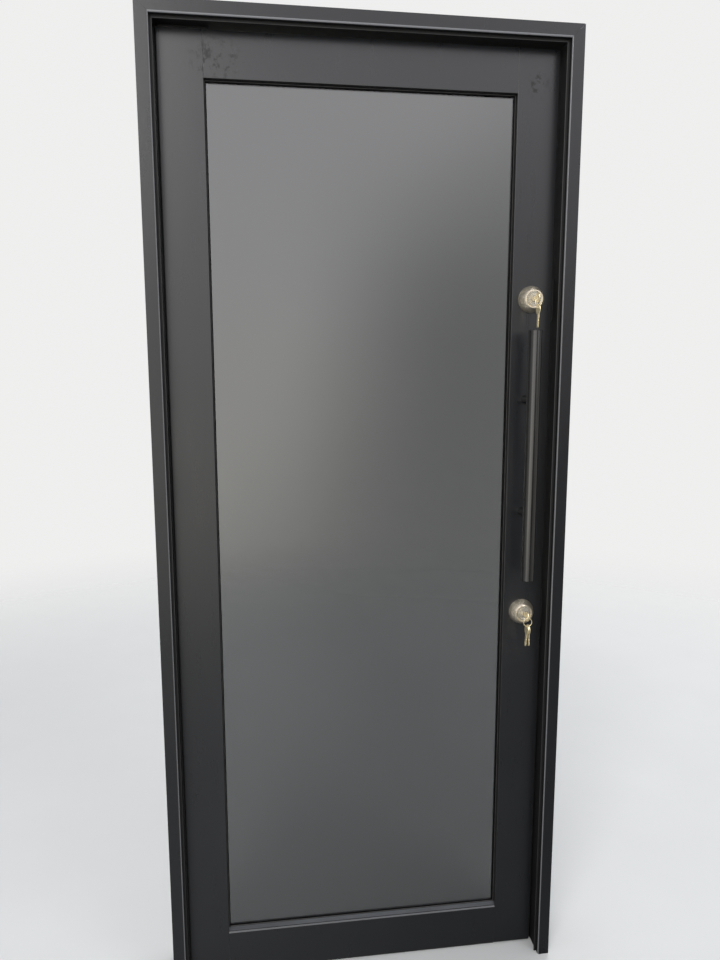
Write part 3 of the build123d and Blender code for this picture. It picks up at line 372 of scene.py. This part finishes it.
def lit_edge(tree, corner):
    """A painted highlight on the head's rounded lower edge, and a weaker one on the jambs'."""
    side, depth, down = inward(tree, corner)
    return chain(tree, "MULTIPLY", [fade(tree, side, *LIT_ENDS), fade(tree, down, *LIT_EDGE),
                                    fall(tree, depth, *LIT_DEPTH)])


def pocket(tree, opening):
    """One on the walls round the pane, where shade is painted in because little light reaches them."""
    across, depth, height = components(tree, place(tree))
    low, high, face = opening
    start, end = POCKET_PAST
    off = maths(tree, "ABSOLUTE", depth)
    walls = [fade(tree, across, low[0] - end, low[0] - start),
             fall(tree, across, high[0] + start, high[0] + end),
             fall(tree, height, high[1] + start, high[1] + end),
             fall(tree, off, face - POCKET_IN[1], face - POCKET_IN[0]),
             fade(tree, height, low[1] + POCKET_UP[0], low[1] + POCKET_UP[1])]
    return chain(tree, "MULTIPLY", walls)


def blotches(tree, marks):
    """Stains in the marked places, or faint ones all over where there are no marks."""
    cells, (begin, full), strength = MARKED_STAINS if marks else FAINT_STAINS
    specks = noise(tree, place(tree), cells=cells, detail=5, roughness=0.7)
    mask = ramp(tree, specks, [(begin, 0.0), (full, strength)])
    if not marks:
        return mask
    spots = [near(tree, centre, reach) for centre, reach in marks]
    return maths(tree, "MULTIPLY", mask, chain(tree, "MAXIMUM", spots))


def worn_and_highlit_edges(tree, cloud, height, corner):
    """One on rounded and rubbed edges, less in patches and low down: wear, and a painted highlight."""
    edge = arris(tree)
    if corner:
        # Rubbed inner edge of the frame's faces, which also carries a painted highlight
        rubbed = maths(tree, "MULTIPLY", rubbed_and_highlit_edge(tree, corner), RUB_AND_HIGHLIGHT_STRENGTH)
        edge = maths(tree, "MAXIMUM", edge, rubbed)
    patches = fade(tree, cloud, *WEAR_AND_HIGHLIGHT_BY_CLOUD)
    return chain(tree, "MULTIPLY", [edge, patches, fade(tree, height, *WEAR_AND_HIGHLIGHT_BY_HEIGHT)])


def settled_dust(tree):
    """Uneven dust on faces that look up."""
    film = noise(tree, place(tree, scale=(0.3, 1, 1)), cells=45.0, detail=6)
    return maths(tree, "MULTIPLY", upward(tree), ramp(tree, film, [(0.3, 0.40), (0.7, 0.70)]))


def powder_coat(name, paint, marks=(), corner=None, opening=None):
    """Fine grained satin powder coat with stains, worn edges that also carry a painted highlight,
    settled dust and painted shade in its recesses.

    The frame has a corner, which is its outer one, and the leaf an opening for its pane.
    """
    material, tree, shader = new_material(name)
    still = place(tree)
    cloud = noise(tree, still, cells=3.0, detail=4)
    drawn = place(tree, scale=(9, 9, 1.4), turn=(0, 0.12, 0))
    streak = noise(tree, drawn, cells=4.0, detail=6, roughness=0.65)
    grain = noise(tree, still, cells=900.0, detail=2)
    stain = blotches(tree, marks)
    # Painted shade: in the frame's opening, or on the walls round the pane
    recess_shade = recess(tree, corner) if corner else pocket(tree, opening)
    edge = worn_and_highlit_edges(tree, cloud, components(tree, still)[2], corner)
    dust = settled_dust(tree)
    colour = ramp(tree, cloud, [(0.30, paint), (0.75, scaled(paint, PAINT_CLOUD))])
    colour = mix(tree, stain, colour, STAIN)
    # Darkens the recesses as painted shade
    colour = mix(tree, recess_shade, colour, RECESS_SHADE)
    # Worn edges, partly wear and partly a painted highlight, weaker low down
    colour = mix(tree, edge, colour, ARRIS_WEAR_AND_HIGHLIGHT)
    if corner:
        # Painted highlight along the frame's rounded inner edge, strongest under the head
        colour = mix(tree, lit_edge(tree, corner), colour, LIT_ARRIS)
        shader.inputs["Specular IOR Level"].default_value = FRAME_SPECULAR
    colour = mix(tree, dust, colour, DUST)
    link(tree, colour, shader.inputs["Base Color"])
    rough = ramp(tree, streak, [(0.25, 0.25), (0.75, 0.34)])
    for amount, change in ((stain, STAIN_ROUGH), (dust, DUST_ROUGH), (edge, EDGE_ROUGH),
                           (recess_shade, RECESS_SHADE_ROUGH)):
        rough = maths(tree, "ADD", rough, maths(tree, "MULTIPLY", amount, change))
    link(tree, rough, shader.inputs["Roughness"])
    link(tree, bump(tree, grain, strength=0.25, distance=0.0002), shader.inputs["Normal"])
    return material


def satin_black():
    """Smooth satin black of the pull bars, faintly rubbed where hands take hold."""
    material, tree, shader = new_material("handle_paint")
    rub = noise(tree, place(tree, scale=(1, 1, 0.25)), cells=60.0, detail=5)
    grain = noise(tree, place(tree), cells=1200.0, detail=2)
    colour = ramp(tree, rub, [(0.35, HANDLE_BLACK), (0.75, scaled(HANDLE_BLACK, HANDLE_RUBBED))])
    link(tree, colour, shader.inputs["Base Color"])
    link(tree, ramp(tree, rub, [(0.3, 0.17), (0.7, 0.25)]), shader.inputs["Roughness"])
    shader.inputs["IOR"].default_value = HANDLE_IOR
    link(tree, bump(tree, grain, strength=0.12, distance=0.0001), shader.inputs["Normal"])
    return material


def pane_glass():
    """Pane with a dark grey tint that is painted shade, darkening what is seen through it as a dark
    room behind would, with a faint roller wave and wiped streaks.
    """
    material, tree, shader = new_material("glass")
    shader.inputs["Base Color"].default_value = GLASS_SHADE_TINT
    shader.inputs["Transmission Weight"].default_value = 1.0
    shader.inputs["IOR"].default_value = GLASS_IOR
    wiped = place(tree, scale=(2.0, 1, 0.7), turn=(0, 0.5, 0))
    wipe = noise(tree, wiped, cells=6.0, detail=6, roughness=0.7)
    link(tree, ramp(tree, wipe, [(0.50, 0.0), (0.80, 0.035)]), shader.inputs["Roughness"])
    wave = noise(tree, place(tree, scale=(0.35, 1, 1)), cells=3.0, detail=1)
    link(tree, bump(tree, wave, strength=0.25, distance=0.004), shader.inputs["Normal"])
    return material


def rubber():
    """Dull black rubber with a painted highlight on its rounded edges."""
    material, tree, shader = new_material("gasket")
    still = place(tree)
    tone = noise(tree, still, cells=90.0, detail=4)
    uneven = fade(tree, tone, low=0.3, high=0.6, first=0.6, last=1.0)
    # Painted highlight on the gasket's rounded edges, uneven in patches
    edge_highlight = maths(tree, "MULTIPLY", arris(tree), uneven)
    colour = mix(tree, edge_highlight, ramp(tree, tone, [(0.3, 0.0012), (0.75, 0.004)]), RUBBER_EDGE_HIGHLIGHT)
    link(tree, colour, shader.inputs["Base Color"])
    link(tree, ramp(tree, tone, [(0.3, 0.50), (0.7, 0.65)]), shader.inputs["Roughness"])
    shader.inputs["Specular IOR Level"].default_value = RUBBER_SPECULAR
    grain = noise(tree, still, cells=1500.0, detail=2)
    link(tree, bump(tree, grain, strength=0.2, distance=0.0001), shader.inputs["Normal"])
    return material


def rings(tree, centre, count_a_metre):
    """Turning marks: fine rings about a lock's axis."""
    across, depth, up = components(tree, place(tree, shift=(-centre[0], 0, -centre[2])))
    squares = [maths(tree, "POWER", maths(tree, "ABSOLUTE", part), 2.0) for part in (across, up)]
    radius = maths(tree, "SQRT", maths(tree, "ADD", *squares))
    along = maths(tree, "ADD", radius, maths(tree, "MULTIPLY", depth, RING_LEAN))
    return maths(tree, "SINE", maths(tree, "MULTIPLY", along, count_a_metre * 2 * math.pi))


def turned_metal(name, centre, tint, marks, rough, groove, metal):
    """Satin nickel with turning rings round a lock's axis and a little tarnish."""
    material, tree, shader = new_material(name)
    still = place(tree)
    tarnish = noise(tree, still, cells=120.0, detail=5, roughness=0.65)
    lines = rings(tree, centre, marks)
    colour = ramp(tree, tarnish, [(0.36, scaled(tint, TURNED_DULL)), (0.58, tint)])
    dirt = fade(tree, lines, low=-1.0, high=0.2, first=groove, last=0.0)
    colour = mix(tree, dirt, colour, GROOVE_DIRT)
    link(tree, colour, shader.inputs["Base Color"])
    shader.inputs["Metallic"].default_value = metal
    link(tree, ramp(tree, tarnish, [(0.3, rough[1]), (0.7, rough[0])]), shader.inputs["Roughness"])
    grain = noise(tree, still, cells=2500.0, detail=2)
    normal = bump(tree, lines, strength=0.14, distance=0.00005)
    normal = bump(tree, grain, strength=0.12, distance=0.00005, under=normal)
    link(tree, normal, shader.inputs["Normal"])
    return material


def worn_metal(name, tint, rough, spots, metal):
    """Plain metal with fine scratches and uneven tarnish."""
    material, tree, shader = new_material(name)
    tarnish = noise(tree, place(tree), cells=spots, detail=5, roughness=0.65)
    scratch = noise(tree, place(tree, scale=(30, 6, 1)), cells=220.0, detail=2)
    colour = ramp(tree, tarnish, [(0.35, scaled(tint, WORN_DULL)), (0.62, tint)])
    link(tree, colour, shader.inputs["Base Color"])
    shader.inputs["Metallic"].default_value = metal
    link(tree, ramp(tree, tarnish, [(0.3, rough[1]), (0.7, rough[0])]), shader.inputs["Roughness"])
    link(tree, bump(tree, scratch, strength=0.15, distance=0.00006), shader.inputs["Normal"])
    return material


def moulded(name, tone):
    """A dull dark piece with a fine mottle: moulded plastic or coated steel."""
    material, tree, shader = new_material(name)
    still = place(tree)
    mottle = noise(tree, still, cells=200.0, detail=3)
    link(tree, ramp(tree, mottle, [(0.3, tone), (0.7, tone * MOTTLE)]), shader.inputs["Base Color"])
    link(tree, ramp(tree, mottle, [(0.3, 0.42), (0.7, 0.55)]), shader.inputs["Roughness"])
    grain = noise(tree, still, cells=1800.0, detail=2)
    link(tree, bump(tree, grain, strength=0.15, distance=0.0001), shader.inputs["Normal"])
    return material


def pile():
    """Dark woven pile: fine tufts and a soft sheen."""
    material, tree, shader = new_material("pile")
    tuft = noise(tree, place(tree), cells=1400.0, detail=3, roughness=0.7)
    link(tree, ramp(tree, tuft, [(0.35, 0.002), (0.75, 0.014)]), shader.inputs["Base Color"])
    link(tree, ramp(tree, tuft, [(0.3, 0.95), (0.8, 0.80)]), shader.inputs["Roughness"])
    shader.inputs["Sheen Weight"].default_value = PILE_SHEEN
    link(tree, bump(tree, tuft, strength=0.8, distance=0.0006), shader.inputs["Normal"])
    return material


def middle(box):
    """The middle of a box."""
    low, high = box
    return tuple((low + high) / 2)


def make_materials():
    """Every material by its slot; the locks' turned metals have one for each lock."""
    upper = middle(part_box("upper_rose"))
    lower = middle(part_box("lower_rose"))
    stile_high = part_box("hinge_stile")[1]
    lock_low, lock_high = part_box("lock_stile")
    starts = ((stile_high.x, stile_high.z), (lock_high.x, lock_high.z), (lower[0], lower[2]))
    marks = [((x + across, lock_low.y, z + up), reach)
             for (x, z), ((across, up), reach) in zip(starts, STAIN_MARKS)]
    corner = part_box("lock_jamb")[1]
    opening = ((stile_high.x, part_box("bottom_rail")[1].z), (lock_low.x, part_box("top_rail")[0].z),
               lock_high.y)
    slots = {
        "frame_paint": powder_coat("frame_paint", FRAME_PAINT_SHADED, corner=corner),
        "leaf_paint": powder_coat("leaf_paint", LEAF_PAINT, marks, opening=opening),
        "handle_paint": satin_black(),
        "glass": pane_glass(),
        "gasket": rubber(),
        "pile": pile(),
        "nickel_upper": turned_metal("nickel_upper", upper, **NICKEL),
        "nickel_lower": turned_metal("nickel_lower", lower, **NICKEL),
        "face_upper": turned_metal("face_upper", upper, **LOCK_FACE),
        "face_lower": turned_metal("face_lower", lower, **LOCK_FACE),
    }
    for name, look in WORN_METALS.items():
        slots[name] = worn_metal(name, *look)
    for name, tone in MOULDED_TONES.items():
        slots[name] = moulded(name, tone)
    return slots


def finish_nodes(frame):
    """Gives every node its material."""
    slots = make_materials()
    by_node = {part["node"]: part["material_slot"] for part in frame["record"]["subparts"]}
    for name, node in frame["nodes"].items():
        slot = by_node[name]
        side = "upper" if name.startswith("upper") else "lower"
        if slot == "nickel":
            slot = "nickel_" + side
        if slot == "cylinder_metal":
            slot = "face_" + side
        node.data.materials.clear()
        node.data.materials.append(slots[slot])


def make_camera():
    """A camera that stands and looks as the photograph's did."""
    data = bpy.data.cameras.new("camera")
    camera = bpy.data.objects.new("camera", data)
    bpy.context.scene.collection.objects.link(camera)
    data.sensor_fit = "VERTICAL"
    data.sensor_height = SENSOR
    data.lens = FOCAL_PIXELS / IMAGE_HEIGHT * SENSOR
    data.clip_start = CLIP_START
    ahead = Vector((math.sin(CAMERA_YAW) * math.cos(CAMERA_PITCH),
                    math.cos(CAMERA_YAW) * math.cos(CAMERA_PITCH), -math.sin(CAMERA_PITCH)))
    right = Vector((math.cos(CAMERA_YAW), -math.sin(CAMERA_YAW), 0))
    down = ahead.cross(right)
    rolled = right * math.cos(CAMERA_ROLL) + down * math.sin(CAMERA_ROLL)
    up = ahead.cross(rolled) * -1
    camera.matrix_world = Matrix((rolled, up, -ahead)).transposed().to_4x4()
    camera.location = CAMERA_PLACE
    bpy.context.scene.camera = camera


def make_lamp(name, position, target, size, power, colour, in_gloss):
    """A soft rectangular lamp that looks at a point."""
    data = bpy.data.lights.new(name, "AREA")
    data.shape = "RECTANGLE"
    data.size, data.size_y = size
    data.energy = power
    data.color = colour
    light = bpy.data.objects.new(name, data)
    light.location = position
    direction = Vector(target) - Vector(position)
    light.rotation_euler = direction.to_track_quat("-Z", "Y").to_euler()
    light.visible_transmission = False
    light.visible_glossy = in_gloss
    bpy.context.scene.collection.objects.link(light)


def reflected(tree):
    """One for a ray that gloss throws back; what passes through glass counts as glossy too."""
    paths = tree.nodes.new("ShaderNodeLightPath")
    through = maths(tree, "SUBTRACT", 1.0, paths.outputs["Is Transmission Ray"])
    return maths(tree, "MULTIPLY", paths.outputs["Is Glossy Ray"], through)


def blend_shaders(tree, factor, first, second):
    """A mix of two shaders."""
    node = tree.nodes.new("ShaderNodeMixShader")
    link(tree, factor, node.inputs[0])
    link(tree, first, node.inputs[1])
    link(tree, second, node.inputs[2])
    return node.outputs["Shader"]


def make_floor():
    """Plain pale floor, darker in reflections, that fades into the background far from the door."""
    mesh = bpy.data.meshes.new("floor")
    half = FLOOR_RADIUS
    corners = [(-half, -half, 0), (half, -half, 0), (half, half, 0), (-half, half, 0)]
    mesh.from_pydata(corners, [], [(0, 1, 2, 3)])
    floor = bpy.data.objects.new("floor", mesh)
    bpy.context.scene.collection.objects.link(floor)
    material, tree, shader = new_material("floor")
    still = place(tree)
    tone = noise(tree, still, cells=2.0, detail=4)
    colour = ramp(tree, tone, [(0.3, scaled(FLOOR_COLOUR, FLOOR_MOTTLE)), (0.7, FLOOR_COLOUR)])
    link(tree, colour, shader.inputs["Base Color"])
    shader.inputs["Roughness"].default_value = FLOOR_ROUGHNESS
    dark = tree.nodes.new("ShaderNodeBsdfDiffuse")
    dark.inputs["Color"].default_value = (0, 0, 0, 1)
    clear = tree.nodes.new("ShaderNodeBsdfTransparent")
    kept = fade(tree, components(tree, still)[0], *FLOOR_GLOSS_SPAN, *FLOOR_GLOSS)
    lost = maths(tree, "MULTIPLY", reflected(tree), maths(tree, "SUBTRACT", 1.0, kept))
    seen = blend_shaders(tree, lost, shader.outputs["BSDF"], dark.outputs["BSDF"])
    away = fade(tree, length(tree, still), *FLOOR_FADE)
    seen = blend_shaders(tree, away, seen, clear.outputs["BSDF"])
    link(tree, seen, tree.nodes["Material Output"].inputs["Surface"])
    mesh.materials.append(material)


def band(tree, value, centre, spread, strength):
    """A soft upright band of the room about a centre."""
    off = maths(tree, "ABSOLUTE", maths(tree, "SUBTRACT", value, centre))
    return fade(tree, off, *spread, strength, 0.0)


def studio_reflection(tree):
    """What gloss sees: a pale room with three soft lamps and a dark screen.

    Places across and their spreads are sines of the turn away from the door's middle plane, and
    rises are sines of the height.
    """
    direction = tree.nodes.new("ShaderNodeTexCoord").outputs["Generated"]
    across, _, height = components(tree, direction)
    flat = maths(tree, "SQRT", maths(tree, "SUBTRACT", 1.0, maths(tree, "MULTIPLY", height, height)))
    turn = maths(tree, "DIVIDE", across, maths(tree, "MAXIMUM", flat, SMALLEST_FLAT))
    side = fade(tree, turn, *SIDE_SPAN, *SIDE_LEVELS)
    centre = maths(tree, "ADD", maths(tree, "MULTIPLY", height, GLOW_LEAN), GLOW_ACROSS)
    glow = maths(tree, "MULTIPLY", band(tree, turn, centre, GLOW_SPREAD, GLOW_STRENGTH),
                 fade(tree, height, *GLOW_RISE))
    strip = band(tree, turn, STRIP_ACROSS, STRIP_SPREAD, STRIP_STRENGTH)
    patch = maths(tree, "MULTIPLY", band(tree, turn, PATCH_ACROSS, PATCH_SPREAD, PATCH_STRENGTH),
                  fade(tree, height, *PATCH_RISE))
    screen = maths(tree, "MULTIPLY", band(tree, turn, SCREEN_ACROSS, SCREEN_SPREAD, SCREEN_DEPTH),
                   fall(tree, height, *SCREEN_RISE))
    bright = chain(tree, "ADD", [side, glow, strip])
    shaded = maths(tree, "MULTIPLY", bright, maths(tree, "SUBTRACT", 1.0, screen))
    level = grey(tree, maths(tree, "ADD", shaded, patch))
    tint = mix(tree, fade(tree, height, *ROOM_TINT_RISE), *ROOM_TINTS)
    return mix(tree, 1.0, level, mix(tree, 1.0, BACKGROUND, tint, "MULTIPLY"), "MULTIPLY")


def make_world():
    """Soft grey light, with a pale background for the camera and glass, and a room for gloss."""
    world = bpy.data.worlds.new("world")
    bpy.context.scene.world = world
    world.use_nodes = True
    tree = world.node_tree
    tree.nodes.clear()
    paths = tree.nodes.new("ShaderNodeLightPath")
    seen = maths(tree, "MAXIMUM", paths.outputs["Is Camera Ray"], paths.outputs["Is Transmission Ray"])
    colour = mix(tree, seen, AMBIENT, BACKGROUND)
    colour = mix(tree, reflected(tree), colour, studio_reflection(tree))
    background = tree.nodes.new("ShaderNodeBackground")
    link(tree, colour, background.inputs["Color"])
    output = tree.nodes.new("ShaderNodeOutputWorld")
    link(tree, background.outputs["Background"], output.inputs["Surface"])


def main():
    """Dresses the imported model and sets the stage."""
    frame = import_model()
    bpy.context.scene.view_settings.view_transform = "Standard"
    make_camera()
    make_world()
    make_floor()
    finish_nodes(frame)
    for name, settings in LAMPS.items():
        make_lamp(name, *settings)


main()
